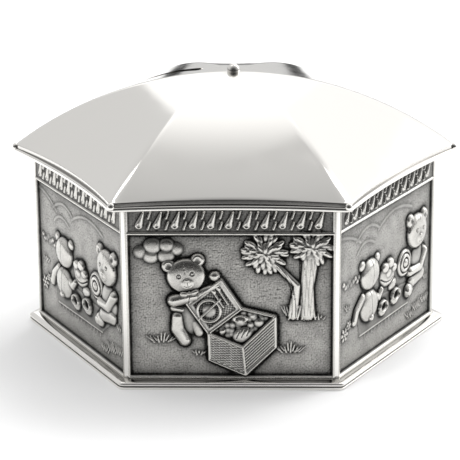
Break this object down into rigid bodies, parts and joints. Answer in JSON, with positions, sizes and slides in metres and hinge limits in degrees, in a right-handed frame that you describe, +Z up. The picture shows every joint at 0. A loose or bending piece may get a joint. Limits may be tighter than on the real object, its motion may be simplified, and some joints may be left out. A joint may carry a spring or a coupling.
{
  "type": "tin money box",
  "caption": "Hexagonal cast pewter money box with relief panels, moulded base, six-gored domed canopy roof with a coin slot, ball finial and a pull-out stopper in the base.",
  "frame": {"origin": "centre of the underside, on the surface the box stands on", "axes": "+Z up, two opposite corners of the hexagon on the X axis, front panel facing -Y"},
  "size_m": [0.1208, 0.105, 0.0738],
  "materials": {
    "polished_pewter": "satin polished pewter",
    "antiqued_pewter": "cast pewter relief with darkened recesses and rubbed bright tops",
    "stopper_plastic": "matt moulded soft plastic"
  },
  "bodies": {
    "box": {"base_plate": "polished_pewter", "panel_front": "antiqued_pewter", "panel_front_right": "antiqued_pewter", "panel_back_right": "antiqued_pewter", "panel_back": "antiqued_pewter", "panel_back_left": "antiqued_pewter", "panel_front_left": "antiqued_pewter", "strip_front_left": "polished_pewter", "strip_front_right": "polished_pewter", "strip_right": "polished_pewter", "strip_back_right": "polished_pewter", "strip_back_left": "polished_pewter", "strip_left": "polished_pewter", "roof_rim": "polished_pewter", "canopy": "polished_pewter", "tip_front_left": "polished_pewter", "tip_front_right": "polished_pewter", "tip_right": "polished_pewter", "tip_back_right": "polished_pewter", "tip_back_left": "polished_pewter", "tip_left": "polished_pewter", "finial": "polished_pewter"},
    "stopper": {"stopper": "stopper_plastic"}
  },
  "joints": [
    {"name": "stopper_pull", "type": "slide", "parent": "box", "child": "stopper", "axis": [0, 0, -1], "range_m": [0, 0.025]}
  ]
}
